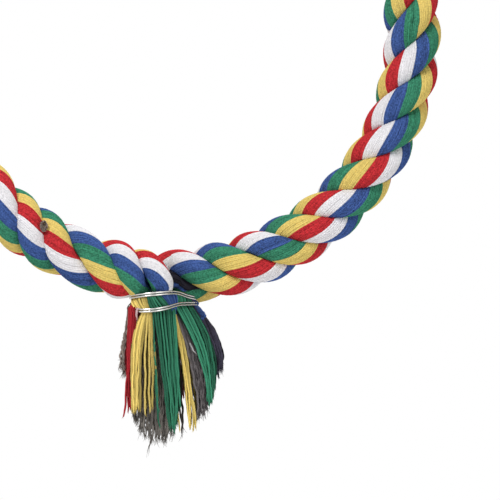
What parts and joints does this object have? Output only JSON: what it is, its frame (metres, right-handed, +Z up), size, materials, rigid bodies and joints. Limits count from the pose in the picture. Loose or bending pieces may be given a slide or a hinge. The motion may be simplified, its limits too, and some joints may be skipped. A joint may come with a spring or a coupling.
{
  "type": "rope swing perch",
  "caption": "Bird swing perch: a ring of thick multicoloured cotton rope, its ends bound with wire into a tassel, hung from a cage bar by a steel ring and quick link.",
  "frame": {"origin": "highest point inside the quick link, where it hangs on a cage bar", "axes": "+Z up, +X to the right in the plane of the rope ring, -Y towards the viewer"},
  "size_m": [0.2509, 0.044, 0.3694],
  "materials": {
    "zinc_steel": "zinc plated, satin",
    "bright_wire": "bright drawn wire",
    "core_steel": "plain",
    "rope_cotton": "laid cotton yarn in bands of white, blue, green, yellow and red",
    "red_yarn": "cotton yarn",
    "yellow_yarn": "cotton yarn",
    "green_yarn": "cotton yarn",
    "navy_yarn": "cotton yarn",
    "blue_yarn": "cotton yarn",
    "white_yarn": "cotton yarn",
    "grey_yarn": "cotton core yarn"
  },
  "bodies": {
    "quick_link": {"quick_link": "zinc_steel"},
    "sleeve_nut": {"sleeve_nut": "zinc_steel"},
    "hang_ring": {"hang_ring": "zinc_steel"},
    "perch": {"rope_strand_1": "rope_cotton", "rope_strand_2": "rope_cotton", "rope_strand_3": "rope_cotton", "core_wire": "core_steel", "binding_wire": "bright_wire", "grey_left_tuft": "grey_yarn", "red_left_tuft": "red_yarn", "yellow_left_tuft": "yellow_yarn", "green_centre_tuft": "green_yarn", "yellow_right_tuft": "yellow_yarn", "grey_right_tuft": "grey_yarn", "green_right_tuft": "green_yarn", "navy_right_tuft": "navy_yarn", "white_back_tuft": "white_yarn", "blue_back_tuft": "blue_yarn", "red_back_tuft": "red_yarn", "grey_back_tuft": "grey_yarn", "grey_core_tuft": "grey_yarn"}
  },
  "joints": [
    {"name": "nut_travel", "type": "slide", "parent": "quick_link", "child": "sleeve_nut", "axis": [0, 0, 1], "range_m": [0, 0.0096]},
    {"name": "fore_aft_swing", "type": "hinge", "parent": "quick_link", "child": "hang_ring", "pos_m": [0, 0, -0.0415], "axis": [1, 0, 0], "range_deg": [-40, 40]},
    {"name": "side_swing", "type": "hinge", "parent": "hang_ring", "child": "perch", "pos_m": [0, 0, -0.0767], "axis": [0, 1, 0], "range_deg": [-25, 25]}
  ]
}
